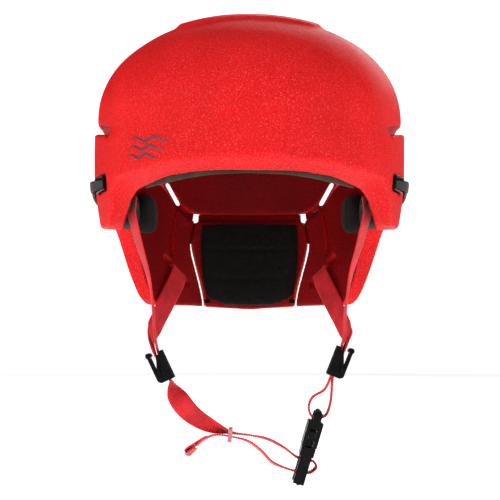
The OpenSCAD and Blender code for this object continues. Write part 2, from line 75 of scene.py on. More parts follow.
class Nodes:
    """A material's node tree, with short ways to add and join nodes."""

    def __init__(self, name):
        self.material = bpy.data.materials.new(name)
        self.material.use_nodes = True
        self.tree = self.material.node_tree
        self.shader = self.tree.nodes["Principled BSDF"]
        self.place = self.tree.nodes.new("ShaderNodeTexCoord").outputs["Object"]

    def add(self, kind, links=None, **values):
        node = self.tree.nodes.new("ShaderNode" + kind)
        for key, value in values.items():
            if hasattr(node, key):
                setattr(node, key, value)
            else:
                node.inputs[key.replace("_", " ")].default_value = value
        for key, source in (links or {}).items():
            self.tree.links.new(source, node.inputs[key])
        return node

    def noise(self, scale, detail=3.0, roughness=0.55, stretch=None):
        place = self.place
        if stretch:
            place = self.add("Mapping", {"Vector": place}, Scale=stretch).outputs["Vector"]
        return self.add("TexNoise", {"Vector": place}, Scale=scale, Detail=detail,
                        Roughness=roughness).outputs["Fac"]

    def cells(self, scale):
        return self.add("TexVoronoi", {"Vector": self.place}, feature="F1",
                        Scale=scale).outputs["Distance"]

    def remap(self, source, low, high, to_low, to_high):
        node = self.add("MapRange", {"Value": source})
        for key, value in (("From Min", low), ("From Max", high), ("To Min", to_low), ("To Max", to_high)):
            node.inputs[key].default_value = value
        return node.outputs["Result"]

    def mixed(self, fac, first, second):
        """A colour between two, each a socket or a tuple."""
        node = self.add("Mix", data_type="RGBA")
        self.tree.links.new(fac, node.inputs["Factor"])
        for key, colour in ((6, first), (7, second)):
            if isinstance(colour, tuple):
                node.inputs[key].default_value = (*colour, 1)
            else:
                self.tree.links.new(colour, node.inputs[key])
        return node.outputs[2]

    def bump(self, height, depth_mm, strength=1.0):
        """Adds a bump of that depth to what the shader's normal already has."""
        node = self.add("Bump", {"Height": height}, Strength=strength, Distance=depth_mm * MM)
        before = self.shader.inputs["Normal"]
        if before.is_linked:
            self.tree.links.new(before.links[0].from_socket, node.inputs["Normal"])
        self.tree.links.new(node.outputs["Normal"], before)

    def to(self, socket, source):
        self.tree.links.new(source, self.shader.inputs[socket])

    def set(self, **values):
        for key, value in values.items():
            self.shader.inputs[key.replace("_", " ")].default_value = value
        return self


def moulded_foam(name, deep, bright, painted_glint=0.55):
    """Closed-cell foam with a fine sandy skin and faint beads under it, with painted glints on the grain's
    peaks and painted shade in its pits.
    """
    m = Nodes(name)
    broad = m.remap(m.noise(26, 4), 0.35, 0.68, 0, 1)
    colour = m.mixed(broad, deep, bright)
    grain = m.noise(1000, 2, 0.75)
    # light pink specks on the grain's peaks: painted glint
    painted_glint_mask = m.remap(grain, 0.56, 0.72, 0, painted_glint)
    # the grain's low points, the hollows of the bump, are painted darker: painted shade in the pits
    pit_shade = m.remap(grain, 0.28, 0.46, 0.55, 0)
    colour = m.mixed(pit_shade, colour, tuple(0.45 * c for c in deep))
    m.to("Base Color", m.mixed(painted_glint_mask, colour, (1, 0.17, 0.16)))
    m.to("Roughness", m.remap(m.noise(700, 3), 0.3, 0.7, 0.4, 0.62))
    m.bump(m.cells(430), 0.3, 0.4)
    m.bump(grain, 0.8, 1.0)
    m.set(Specular_IOR_Level=0.14)
    return m.material


def webbing_weave(name, deep, bright):
    m = Nodes(name)
    broad = m.remap(m.noise(60, 3), 0.35, 0.65, 0, 1)
    m.to("Base Color", m.mixed(broad, deep, bright))
    m.to("Roughness", m.remap(m.noise(900, 2), 0.3, 0.7, 0.45, 0.75))
    m.bump(m.noise(2600, 2), 0.12, 0.5)
    m.set(Sheen_Weight=0.25, Sheen_Roughness=0.4, Specular_IOR_Level=0.45)
    return m.material


def moulded_plastic(name, colour, rough=(0.3, 0.46)):
    m = Nodes(name)
    broad = m.remap(m.noise(140, 4), 0.35, 0.7, 0, 1)
    lighter = tuple(c * 1.9 + 0.001 for c in colour)
    m.to("Base Color", m.mixed(broad, colour, lighter))
    m.to("Roughness", m.remap(m.noise(420, 3), 0.3, 0.7, *rough))
    m.bump(m.noise(3200, 2), 0.05, 0.35)
    m.set(Specular_IOR_Level=0.13)
    return m.material


def pad_cloth(name, colour, lighter, knit=1500):
    """Knitted facing over foam: small cells, soft sheen."""
    m = Nodes(name)
    broad = m.remap(m.noise(70, 3), 0.35, 0.7, 0, 1)
    cells = m.cells(knit)
    fleck = m.mixed(m.remap(cells, 0.05, 0.5, 0, 0.6), colour, lighter)
    m.to("Base Color", m.mixed(broad, fleck, colour))
    m.to("Roughness", m.remap(m.noise(300, 2), 0.3, 0.7, 0.75, 0.95))
    m.bump(cells, 0.18, 0.6)
    m.set(Sheen_Weight=0.08, Sheen_Roughness=0.5, Specular_IOR_Level=0.25)
    return m.material


def elastic_cloth(name, colour, lighter):
    m = Nodes(name)
    ribs = m.noise(420, 2, 0.5, stretch=(1, 1, 4))
    m.to("Base Color", m.mixed(m.remap(ribs, 0.3, 0.7, 0, 1), colour, lighter))
    m.to("Roughness", m.remap(m.noise(500, 2), 0.3, 0.7, 0.6, 0.85))
    m.bump(m.noise(2200, 2), 0.12, 0.6)
    m.set(Sheen_Weight=0.2, Sheen_Roughness=0.45, Specular_IOR_Level=0.35)
    return m.material


def soft_rubber(name):
    m = Nodes(name)
    broad = m.remap(m.noise(180, 3), 0.35, 0.7, 0, 1)
    m.to("Base Color", m.mixed(broad, (0.72, 0.1, 0.14), (0.86, 0.3, 0.33)))
    m.to("Roughness", m.remap(m.noise(600, 2), 0.3, 0.7, 0.25, 0.4))
    m.bump(m.noise(1500, 2), 0.05, 0.4)
    m.set(Transmission_Weight=0.25, Subsurface_Weight=0.2, Subsurface_Scale=0.004)
    return m.material


def printed_ink(name):
    m = Nodes(name)
    broad = m.remap(m.noise(1100, 3), 0.35, 0.7, 0, 1)
    m.to("Base Color", m.mixed(broad, (0.03, 0.012, 0.03), (0.16, 0.02, 0.05)))
    m.to("Roughness", m.remap(m.noise(700, 2), 0.3, 0.7, 0.4, 0.6))
    m.bump(m.noise(1500, 2), 0.15, 0.5)
    return m.material


FOAM = moulded_foam("foam_red", (0.72, 0.0035, 0.0045), (0.83, 0.006, 0.008))
FLAP_FOAM = moulded_foam("foam_red_flaps", (0.7, 0.003, 0.006), (0.8, 0.005, 0.009))
# the faces inside the head cavity get a darker red: painted shade of the cavity
SHADED_INNER_FOAM = moulded_foam("foam_red_inner_shaded", (0.2, 0.0008, 0.002), (0.26, 0.001, 0.003), 0.1)
SHADED_INNER_FLAP_FOAM = moulded_foam("foam_red_flaps_inner_shaded", (0.23, 0.0007, 0.002), (0.3, 0.001, 0.003), 0.1)
WEBBING = webbing_weave("webbing_red", (0.5, 0.001, 0.005), (0.82, 0.004, 0.016))
PLASTIC = moulded_plastic("plastic_black", (0.0016, 0.0015, 0.0014), (0.2, 0.34))
OLIVE_PLASTIC = moulded_plastic("plastic_olive", (0.03, 0.025, 0.012))
PAD = pad_cloth("pad_black", (0.0008, 0.0007, 0.0007), (0.0035, 0.0025, 0.0024))
SIDE_PAD = pad_cloth("pad_dark", (0.0015, 0.001, 0.0008), (0.007, 0.005, 0.0035))
LINER = pad_cloth("liner_olive", (0.03, 0.021, 0.013), (0.085, 0.062, 0.042), 1100)
ELASTIC = elastic_cloth("elastic_charcoal", (0.012, 0.011, 0.011), (0.05, 0.045, 0.043))
RING = soft_rubber("ring_rubber")
INK = printed_ink("print_navy")

# ---------------------------------------------------------------- mesh helpers


def link(name, points_mm, faces, material, smooth=True):
    """A new mesh object from points in millimetres."""
    mesh = bpy.data.meshes.new(name)
    mesh.from_pydata([tuple(p) for p in np.asarray(points_mm) * MM], [], faces)
    mesh.update()
    piece = bpy.data.objects.new(name, mesh)
    bpy.context.collection.objects.link(piece)
    mesh.materials.append(material)
    if smooth:
        mesh.shade_smooth()
    return piece


def applied(piece):
    """Bakes a piece's modifiers into its mesh."""
    graph = bpy.context.evaluated_depsgraph_get()
    mesh = bpy.data.meshes.new_from_object(piece.evaluated_get(graph))
    old = piece.data
    piece.modifiers.clear()
    piece.data = mesh
    bpy.data.meshes.remove(old)
    return piece


def cut(piece, tool, operation="DIFFERENCE"):
    change = piece.modifiers.new("cut", "BOOLEAN")
    change.operation = operation
    change.solver = "MANIFOLD"
    change.object = tool
    applied(piece)
    bpy.data.objects.remove(tool)
    return piece


def softened(piece, voxel_mm, rounds):
    """Remeshes a cut piece and rounds its edges, as a mould does."""
    remesh = piece.modifiers.new("remesh", "REMESH")
    remesh.mode = "VOXEL"
    remesh.voxel_size = voxel_mm * MM
    remesh.use_smooth_shade = True
    smooth = piece.modifiers.new("smooth", "SMOOTH")
    smooth.factor = 0.5
    smooth.iterations = rounds
    return applied(piece)


def uneven(piece, seed, amount_mm=0.35, size_mm=30):
    """Pushes the surface in and out a little, as moulded foam shrinks."""
    mesh = piece.data
    shift = Vector((seed, seed * 0.7, seed * 1.3))
    count = len(mesh.vertices)
    places = np.empty(count * 3, np.float32)
    normals = np.empty(count * 3, np.float32)
    mesh.vertices.foreach_get("co", places)
    mesh.vertices.foreach_get("normal", normals)
    places = places.reshape(-1, 3)
    normals = normals.reshape(-1, 3)
    scale = 1 / (size_mm * MM)
    amounts = np.array([noise.noise(Vector(p) * scale + shift) for p in places])
    places += normals * (amounts * amount_mm * MM)[:, None]
    mesh.vertices.foreach_set("co", places.ravel())
    mesh.update()


def tube_faces(rings, around):
    """Faces of a closed tube of rings, each ring with the same number of points, with flat ends."""
    faces = []
    for r in range(rings - 1):
        for c in range(around):
            a, b = r * around + c, r * around + (c + 1) % around
            faces.append((a, b, b + around, a + around))
    faces.append(tuple(reversed(range(around))))
    faces.append(tuple((rings - 1) * around + c for c in range(around)))
    return faces


def unit(v):
    return v / np.maximum(np.linalg.norm(v, axis=-1, keepdims=True), 1e-12)


# ---------------------------------------------------------------- shape of the wall

HALF_W, HALF_L = 113.2, 138.0
CROWN, DOME_BASE = 126.0, 52.0
DOME_H = CROWN - DOME_BASE
LINER_BASE, LINER_H = 45.0, 61.0
WALL_SIDE, WALL_END, WALL_TAPER = 18.0, 16.0, 5.0
CROWN_STEP = 2.4
RIM_ROUND = 2.6
LIP_CLOSE, LIP_ROOT, LIP_DEPTH = 0.4, 6, (0.06, 0.3)
FLAP_FROM, FLAP_TO, NAPE_HALF, NAPE_LEVEL = 108.5, 158.7, 32, -9.2
SLOT, SLIT, WEB_SLOT, SEAM = 6.6, 3.0, 5.4, 0.5
MM_PER_DEGREE = 2.1
BELOW = -95.0

# Lower edges of the wall, outside and inside, as azimuth (0 brow, 180 nape) and level
EDGE_OUT = [(0, 14.7), (16, 13.9), (30, 11.8), (40, 8), (48, 5.2), (54.5, 3.2), (56.5, -0.5),
            (58.3, -6.2), (60.5, -13), (62.3, -20), (64.9, -26), (67, -28), (75, -27.3), (95, -24.5),
            (107, -22), (109.5, -24), (112, -38), (115, -58), (118, -74), (122, -80), (150, -80.5),
            (180, -83)]
EDGE_IN = [(0, 4.7), (16, 5), (28, 4.2), (36, 2.9), (44.5, -0.6), (49, -2), (53.5, -3.7),
           (59, -8.2), (64.5, -16.4), (69, -22), (72.4, -26), (75, -28), (95, -25), (107, -22.5),
           (109.5, -24.5), (112, -38.5), (115, -58.5), (118, -74.5), (122, -80.5), (150, -81),
           (180, -83.5)]
SLOT_LINE = [(60, 37.5), (66, 40.5), (74, 43.5), (84, 45.8), (94, 45.5), (103, 41.5), (112, 34),
             (121, 26), (129, 21), (136, 15.5), (141, 5), (145, -3), (150, -8.2), (156, -9.2),
             (165, -9.2), (181, -9.2)]
SLIT_LINE = [(40.5, 3), (43, -9), (47, -20), (48.6, -31), (46.5, -43), (43.8, -54), (41.5, -65),
             (40, -74), (39, -96)]
SLIT_FRONT, SLIT_MID, SLIT_BACK = 50, 112, 170
SLIT_SLANT = [(-96, 0.23), (-64, 0.23), (-50, 0.19), (-38, 0.16), (-24, 0.22), (3, 0.24)]
BACK_SLOT = [(65.8, 16.4), (54.5, -4)]
BACK_SLOT_W = 3.6
BACK_FROM, BACK_MID, BACK_TO = 45, 75, 175
BACK_SPREAD, BACK_RISE = 0.056, 0.085
CREASE_LINE = [(143.4, -2), (141, -12), (139, -24), (137.4, -41)]
WEB_LINE = [(132.5, -41), (137, -48.7), (141.6, -56.4), (146.2, -64)]


def table(x, rows):
    rows = np.asarray(rows, float)
    return np.interp(x, rows[:, 0], rows[:, 1])


def fold(az):
    az = np.mod(az, 360)
    return np.where(az > 180, 360 - az, az)


def eased(az, rows, spread=1.2):
    """A table's value with its corners rounded over a few degrees."""
    taps = np.linspace(-2, 2, 9)
    weights = np.exp(-taps ** 2)
    return sum(w * table(fold(az + t * spread), rows) for t, w in zip(taps, weights)) / weights.sum()


def lean(z):
    return 1 - 0.165 * np.power(np.maximum(12 - z, 0) / 95, 1.5)


def tuck(az, z):
    above = np.clip((z - table(fold(az), SLOT_LINE)) / 6 + 0.5, 0, 1)
    return 1 - 0.02 * np.clip((fold(az) - 48) / 14, 0, 1) * above


def polar(az, w, length, z):
    a = np.radians(az)
    return np.stack([w * np.sin(a), -length * np.cos(a), z + 0 * a], -1)


def outer_wall(az, z):
    return polar(az, HALF_W * lean(z) * tuck(az, z), HALF_L * lean(z) * tuck(az, z), z)


def inner_wall(az, z):
    thin = WALL_TAPER * np.clip(-z / 60, 0, 1)
    return polar(az, HALF_W * lean(z) - WALL_SIDE + thin, HALF_L * lean(z) - WALL_END + thin, z)


def depth(az, z, d):
    """A point at a depth in the wall: 0 on its outer face, 1 on its inner face, or beyond."""
    az, z = np.asarray(az, float), np.asarray(z, float)
    d = np.asarray(d, float)[..., None]
    return outer_wall(az, z) * (1 - d) + inner_wall(az, z) * d


def plate_lift(x, y):
    """Height of the raised crown plate: a rounded rectangle with a short sloping edge."""
    corner, half_wide, half_long, middle = 26, 52, 95, 18
    qx = np.maximum(np.abs(x) - (half_wide - corner), 0)
    qy = np.maximum(np.abs(y - middle) - (half_long - corner), 0)
    inside = corner - np.hypot(qx, qy)
    t = np.clip(inside / 2.2, 0, 1)
    return CROWN_STEP * t * t * (3 - 2 * t)


def rounded_corner(before, corner, after, steps=5):
    """Rings that turn a corner between two rings as a smooth arc."""
    near = corner + unit(before - corner) * RIM_ROUND
    far = corner + unit(after - corner) * RIM_ROUND
    for t in np.linspace(0, 1, steps):
        yield near * (1 - t) ** 2 + corner * 2 * t * (1 - t) + far * t * t


def wall_skin(name):
    """The whole wall as one closed skin."""
    az = np.arange(0, 360, 0.75)
    n = len(az)
    flat_rows = np.linspace(0, 1, 84)
    dome_rows = np.linspace(0, 90, 74)[1:-1]
    low, low_in = eased(az, EDGE_OUT), eased(az, EDGE_IN)
    rim_out, rim_in = outer_wall(az, low), inner_wall(az, low_in)
    first_in = inner_wall(az, low_in + RIM_ROUND)
    rings = list(rounded_corner(first_in, rim_in, rim_out))
    rings += list(rounded_corner(rim_in, rim_out, outer_wall(az, low + RIM_ROUND)))
    for t in flat_rows:
        z = low + RIM_ROUND + (DOME_BASE - low - RIM_ROUND) * t
        rings.append(outer_wall(az, z))
    for f in np.radians(dome_rows):
        r, h = math.cos(f) ** 0.93, math.sin(f) ** 0.93
        wide = r * tuck(az, DOME_BASE)
        ring = polar(az, HALF_W * wide, HALF_L * wide, DOME_BASE + DOME_H * h)
        ring[:, 2] += plate_lift(ring[:, 0], ring[:, 1])
        rings.append(ring)
    outer_rings = len(rings)
    for t in flat_rows:
        z = low_in + RIM_ROUND + (LINER_BASE - low_in - RIM_ROUND) * t
        rings.append(inner_wall(az, z))
    for f in np.radians(dome_rows):
        r, h = math.cos(f) ** 0.93, math.sin(f) ** 0.93
        rings.append(polar(az, (HALF_W - WALL_SIDE) * r, (HALF_L - WALL_END) * r,
                           LINER_BASE + LINER_H * h))
    points = np.concatenate(rings + [[[0, 0, CROWN + CROWN_STEP]], [[0, 0, LINER_BASE + LINER_H]]])
    apex = len(rings) * n
    faces = []
    for r in range(len(rings) - 1):
        if r == outer_rings - 1:
            continue
        outside = r < outer_rings
        for c in range(n):
            a, b = r * n + c, r * n + (c + 1) % n
            quad = (a, b, b + n, a + n)
            faces.append(quad if outside else quad[::-1])
    inner = outer_rings * n
    last_out, last_in = (outer_rings - 1) * n, (len(rings) - 1) * n
    for c in range(n):
        d = (c + 1) % n
        faces.append((c, inner + c, inner + d, d))
        faces.append((last_out + c, last_out + d, apex))
        faces.append((last_in + d, last_in + c, apex + 1))
    return link(name, points, faces, FOAM)


def along_line(line, step=1.2):
    """A line of azimuths and levels, evenly resampled with its corners rounded."""
    line = np.asarray(line, float) * (MM_PER_DEGREE, 1)
    reach = np.r_[0, np.cumsum(np.linalg.norm(np.diff(line, axis=0), axis=1))]
    s = np.linspace(0, reach[-1], max(4, int(reach[-1] / step)))
    fine = np.stack([np.interp(s, reach, line[:, k]) for k in (0, 1)], -1)
    rounded = fine.copy()
    for _ in range(14):
        rounded[1:-1] = (rounded[:-2] + 2 * rounded[1:-1] + rounded[2:]) / 4
    ahead = unit(np.gradient(rounded, axis=0))
    return rounded / (MM_PER_DEGREE, 1), ahead


def block(name, corners, side=1, outward=True):
    """A closed block from its four long edges; side -1 mirrors it to the left.

    outward is False when the edges are listed the other way round."""
    points = np.stack(corners, 1).reshape(-1, 3) * (side, 1, 1)
    faces = tube_faces(len(corners[0]), 4)
    if (side > 0) == outward:
        faces = [f[::-1] for f in faces]
    return link(name, points, faces, FOAM)


def blade(line, low, high, d0, d1, side=1):
    """A blade along a line through the wall. low and high are its edges' distances from the line."""
    middle, ahead = along_line(line)
    across = np.stack([-ahead[:, 1] / MM_PER_DEGREE, ahead[:, 0]], -1)
    lower, upper = middle - across * low, middle + across * high
    return block("blade", [depth(*lower.T, d0), depth(*upper.T, d0), depth(*upper.T, d1),
                           depth(*lower.T, d1)], side)


def wall_block(name, az, low, high, d0, d1, side=1):
    """The block of the wall between two levels and two depths."""
    return block(name, [depth(az, low, d0), depth(az, high, d0), depth(az, high, d1),
                        depth(az, low, d1)], side)


def flap_region(grow, side):
    az = np.linspace(FLAP_FROM - grow / MM_PER_DEGREE, FLAP_TO, 60)
    return wall_block("region", az, np.full(len(az), BELOW), table(az, SLOT_LINE) + grow, -1, 2, side)


def nape_region(grow, top):
    half = NAPE_HALF + grow / MM_PER_DEGREE
    az = np.linspace(180 - half, 180 + half, 60)
    return wall_block("region", az, np.full(len(az), BELOW), np.full(len(az), top), -1, 2)


def slit_block(x_far, shift, side):
    """Everything from a plane at that x to one side of the gap beside the nape flap."""
    line, _ = along_line(np.asarray(SLIT_LINE, float) / (MM_PER_DEGREE, 1))
    x, z = line[:, 0] * MM_PER_DEGREE + shift, line[:, 1]
    slant = table(z, SLIT_SLANT)
    corners = [np.stack([xx * np.ones_like(z), y * np.ones_like(z), z], -1)
               for xx, y in ((x_far, SLIT_FRONT), (x - (SLIT_MID - SLIT_FRONT) * slant, SLIT_FRONT),
                             (x + (SLIT_BACK - SLIT_MID) * slant, SLIT_BACK), (x_far, SLIT_BACK))]
    return block("slit", corners, side, outward=x_far < SLIT_LINE[0][0])


def back_slot(side):
    """The straight slot through the wall above a side flap; it runs back and slightly up and out."""
    half = BACK_SLOT_W / 2
    corners = [np.array([(x + dx + BACK_SPREAD * (y - BACK_MID), y, z + BACK_RISE * (y - BACK_MID))
                         for x, z in BACK_SLOT])
               for dx, y in ((-half, BACK_FROM), (half, BACK_FROM), (half, BACK_TO), (-half, BACK_TO))]
    return block("back_slot", corners, side)


def slot_lip(first, last, side=1):
    """The thin outer lip that closes the slot towards the nape."""
    az = np.linspace(first, last, 40)
    middle = table(fold(az), SLOT_LINE)
    return wall_block("lip", az, middle - SLOT / 2 - LIP_ROOT, middle + SLOT / 2 + LIP_CLOSE,
                      *LIP_DEPTH, side)


# ---------------------------------------------------------------- foam pieces

FRONT_SLOT = [p for p in SLOT_LINE if p[0] < 149]
NAPE_SLOT = [p for p in SLOT_LINE if p[0] > 144]
EYELET_CUT = [(62.3, 3.9), (66, 3.6), (70, 3.2), (74.3, 2.8)]
SHELL_VOXEL, FLAP_VOXEL = 1.3, 1.05


def paint_cavity_shade(piece, material):
    """Gives the faces that look into the head cavity the darker red material, painted shade of the cavity.
    """
    mesh = piece.data
    mesh.materials.append(material)
    count = len(mesh.polygons)
    centres, normals = np.empty(count * 3, np.float32), np.empty(count * 3, np.float32)
    mesh.polygons.foreach_get("center", centres)
    mesh.polygons.foreach_get("normal", normals)
    centres, normals = centres.reshape(-1, 3) / MM, normals.reshape(-1, 3)
    from_axis = centres / (HALF_W ** 2, HALF_L ** 2, CROWN ** 2)
    from_axis[centres[:, 2] < 0, 2] = 0
    # faces looking into the cavity, which get the painted shade
    shaded_faces = np.sum(unit(from_axis) * normals, 1) < -0.55
    slot = len(mesh.materials) - 1
    mesh.polygons.foreach_set("material_index", shaded_faces.astype(np.int32) * slot)
    mesh.update()


def make_shell():
    shell = wall_skin("foam_shell")
    for side in (-1, 1):
        cut(shell, blade(FRONT_SLOT, SLOT / 2, SLOT / 2, -1, 2, side))
        cut(shell, flap_region(0, side))
        cut(shell, blade(NAPE_SLOT, SLOT / 2, SLOT / 2, -1, 2, side))
        cut(shell, blade(EYELET_CUT, 5.8, 5.8, -0.3, 1.4, side))
    cut(shell, nape_region(0, NAPE_LEVEL))
    for side in (-1, 1):
        cut(shell, back_slot(side))
    softened(shell, SHELL_VOXEL, 5)
    uneven(shell, 3.1)
    paint_cavity_shade(shell, SHADED_INNER_FOAM)
    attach(shell, "shell")
    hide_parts("crown_shell")
    return shell


def make_side_flap(side, word):
    flap = wall_skin("foam_flap_" + word)
    flap.data.materials[0] = FLAP_FOAM
    cut(flap, flap_region(-SEAM, side), "INTERSECT")
    cut(flap, blade(FRONT_SLOT, SLOT / 2, SLOT / 2 + 30, -1, 2, side))
    cut(flap, blade(WEB_LINE, WEB_SLOT / 2, WEB_SLOT / 2, -1, 2, side))
    cut(flap, blade(CREASE_LINE, 1.6, 1.6, 0.45, 2, side))
    cut(flap, blade(NAPE_SLOT, SLOT / 2, SLOT / 2, -1, 2, side))
    cut(flap, slot_lip(143.6, 158.1, side), "UNION")
    cut(flap, slit_block(-5, SLIT / 2, side))
    cut(flap, back_slot(side))
    softened(flap, FLAP_VOXEL, 5)
    uneven(flap, 5.3)
    paint_cavity_shade(flap, SHADED_INNER_FLAP_FOAM)
    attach(flap, "flap_" + word)
    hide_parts("rear_flap_" + word)
    return flap


def make_center_flap():
    flap = wall_skin("foam_flap_center")
    flap.data.materials[0] = FLAP_FOAM
    body_top = NAPE_LEVEL - SLOT / 2
    cut(flap, nape_region(-SEAM, body_top), "INTERSECT")
    cut(flap, slot_lip(157, 203), "UNION")
    for side in (-1, 1):
        cut(flap, slit_block(75, -SLIT / 2, side))
    softened(flap, FLAP_VOXEL, 5)
    uneven(flap, 7.9)
    paint_cavity_shade(flap, SHADED_INNER_FLAP_FOAM)
    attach(flap, "flap_center")
    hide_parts("rear_flap_center")
    return flap


make_shell()
make_side_flap(-1, "left")
make_side_flap(1, "right")
make_center_flap()

# ---------------------------------------------------------------- pads and lining


def wall_pad(name, azimuths, low, high, back, thick, material, corner=0.3, fullness=0.4, side=1,
             grid=(64, 44), dimple=None):
    """A crowned pad on the wall's inner face. low, high and thick are tables or numbers over azimuth."""
    def value(rule, az):
        return table(az, rule) if isinstance(rule, list) else np.full_like(az, rule)
    nu, nv = grid
    u = np.sin(np.linspace(-1, 1, nu) * math.pi / 2)
    v = np.sin(np.linspace(-1, 1, nv) * math.pi / 2)
    u, v = np.meshgrid(u, v, indexing="ij")
    pu = u * np.sqrt(1 - corner * v ** 2)
    pv = v * np.sqrt(1 - corner * u ** 2)
    mid, half = (azimuths[0] + azimuths[1]) / 2, (azimuths[1] - azimuths[0]) / 2
    az = mid + half * pu
    bottom, top = value(low, az), value(high, az)
    z = (bottom + top) / 2 + pv * (top - bottom) / 2
    crown = np.power(np.clip((1 - u ** 4) * (1 - v ** 4), 0, 1), fullness)
    if dimple is not None:
        crown = crown * dimple(u, v)
    front = depth(az, z, back + crown * value(thick, az))
    rear = depth(az, z, np.full_like(az, back))
    points = np.concatenate([front.reshape(-1, 3), rear.reshape(-1, 3)]) * (side, 1, 1)
    index = np.arange(nu * nv).reshape(nu, nv)
    twin = index + nu * nv
    twin[0, :], twin[-1, :] = index[0, :], index[-1, :]
    twin[:, 0], twin[:, -1] = index[:, 0], index[:, -1]
    faces = []
    for i in range(nu - 1):
        for j in range(nv - 1):
            quad = (index[i, j], index[i, j + 1], index[i + 1, j + 1], index[i + 1, j])
            back_quad = (twin[i, j], twin[i + 1, j], twin[i + 1, j + 1], twin[i, j + 1])
            faces += [quad, back_quad] if side > 0 else [quad[::-1], back_quad[::-1]]
    pad = link(name, points, [tuple(int(k) for k in f) for f in faces], material)
    tidy = bmesh.new()
    tidy.from_mesh(pad.data)
    loose = [v for v in tidy.verts if not v.link_faces]
    bmesh.ops.delete(tidy, geom=loose, context="VERTS")
    bmesh.ops.recalc_face_normals(tidy, faces=tidy.faces)
    tidy.to_mesh(pad.data)
    tidy.free()
    return pad


def rows_across(u, v):
    """Sewn channels across a pad."""
    return 1 - 0.16 * np.exp(-((np.abs(v) - 0.36) / 0.05) ** 2)


def make_pads():
    brow = wall_pad("brow_lining", (-51, 51), [(-51, -2.4), (-45, -1.2), (-36, 0.3), (-27, 2.3),
                    (-16, 3.9), (0, 4.6), (16, 3.9), (27, 2.3), (36, 0.3), (45, -1.2), (51, -2.4)],
                    16, 1.03, 0.24, LINER, 0.06, 0.22, grid=(150, 24))
    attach(brow, "shell")
    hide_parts("brow_liner")
    for side, word in ((-1, "left"), (1, "right")):
        temple = wall_pad("temple_cushion_" + word, (82, 107), -24.5, 4, 1.02, 0.55, SIDE_PAD, 0.35,
                          0.35, side)
        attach(temple, "shell")
        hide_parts("temple_pad_" + word)
        rear = wall_pad("side_cushion_" + word, (109.6, 127.4), -25, 5, 1.02,
                        [(109, 0.56), (119, 0.56), (128, 0.3)], SIDE_PAD, 0.4, 0.35, side)
        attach(rear, "flap_" + word)
        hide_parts("side_pad_" + word)
    nape = wall_pad("nape_cushion", (154.6, 205.4), [(154, -71), (159, -76.5), (166, -80), (194, -80),
                    (201, -76.5), (206, -71)],
                    -13.6, 1.03, [(154, 0.34), (180, 0.48), (206, 0.34)], PAD, 0.1, 0.3,
                    grid=(90, 70), dimple=rows_across)
    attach(nape, "flap_center")
    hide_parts("rear_pad")


make_pads()

# ---------------------------------------------------------------- webbing

WEB_W, WEB_T = 15.0, 1.4
RIB_PITCH = 1.7


def smooth_run(stations, n):
    """Catmull-Rom through a list of stations."""
    p = np.asarray(stations, float)
    m = len(p) - 1
    out = []
    for i in range(m):
        p0, p1, p2, p3 = p[max(0, i - 1)], p[i], p[i + 1], p[min(m, i + 2)]
        for k in range(n):
            t = k / n
            out.append(0.5 * (2 * p1 + (p2 - p0) * t + (2 * p0 - 5 * p1 + 4 * p2 - p3) * t * t
                              + (3 * p1 - p0 - 3 * p2 + p3) * t ** 3))
    out.append(p[m])
    return np.array(out)


def ribbon_mesh(centres, across, half_width, thick, pitch=RIB_PITCH, rib=0.32, around=18):
    """Points and faces of a woven band: ribs across it, rounded edges, closed ends."""
    along = unit(np.gradient(centres, axis=0))
    across = unit(across - along * np.sum(across * along, 1, keepdims=True))
    face = np.cross(along, across)
    reach = np.r_[0, np.cumsum(np.linalg.norm(np.diff(centres, axis=0), axis=1))]
    wave = np.cos(2 * np.pi * reach / pitch)
    turn = 2 * np.pi * np.arange(around) / around
    x = np.sign(np.cos(turn)) * np.abs(np.cos(turn)) ** 0.55
    y = np.sign(np.sin(turn)) * np.abs(np.sin(turn)) ** 0.35
    wide = (half_width * (1 - 0.008 * wave))[:, None] * x
    tall = (thick / 2 * (1 + rib * wave))[:, None] * y
    points = centres[:, None] + wide[..., None] * across[:, None] + tall[..., None] * face[:, None]
    return points.reshape(-1, 3), tube_faces(len(centres), around)


def resampled(run, step):
    reach = np.r_[0, np.cumsum(np.linalg.norm(np.diff(run[:, :3], axis=0), axis=1))]
    s = np.linspace(0, reach[-1], int(reach[-1] / step) + 2)
    return np.stack([np.interp(s, reach, run[:, k]) for k in range(run.shape[1])], -1)


def strap(name, stations, side=1, step=0.29):
    run = resampled(smooth_run(stations, 24), step) * ((side, 1, 1, side, 1, 1))
    points, faces = ribbon_mesh(run[:, :3], run[:, 3:6], np.full(len(run), WEB_W / 2), WEB_T)
    piece = link(name, points, faces, WEBBING)
    return piece


ADJUSTERS = {"left": (64.8, -125, 25.3), "right": (65.9, -121.8, 21.5)}


def spot(word, x, z, way=1):
    """A station in an adjuster: x across its thickness and z along it, on the +x half."""
    ax, az, tilt = ADJUSTERS[word]
    c, s = math.cos(math.radians(tilt)), math.sin(math.radians(tilt))
    return (ax - x * c + z * s, -10, az + x * s + z * c, 0, way, 0)


def mirrored(station):
    return (-station[0],) + station[1:]


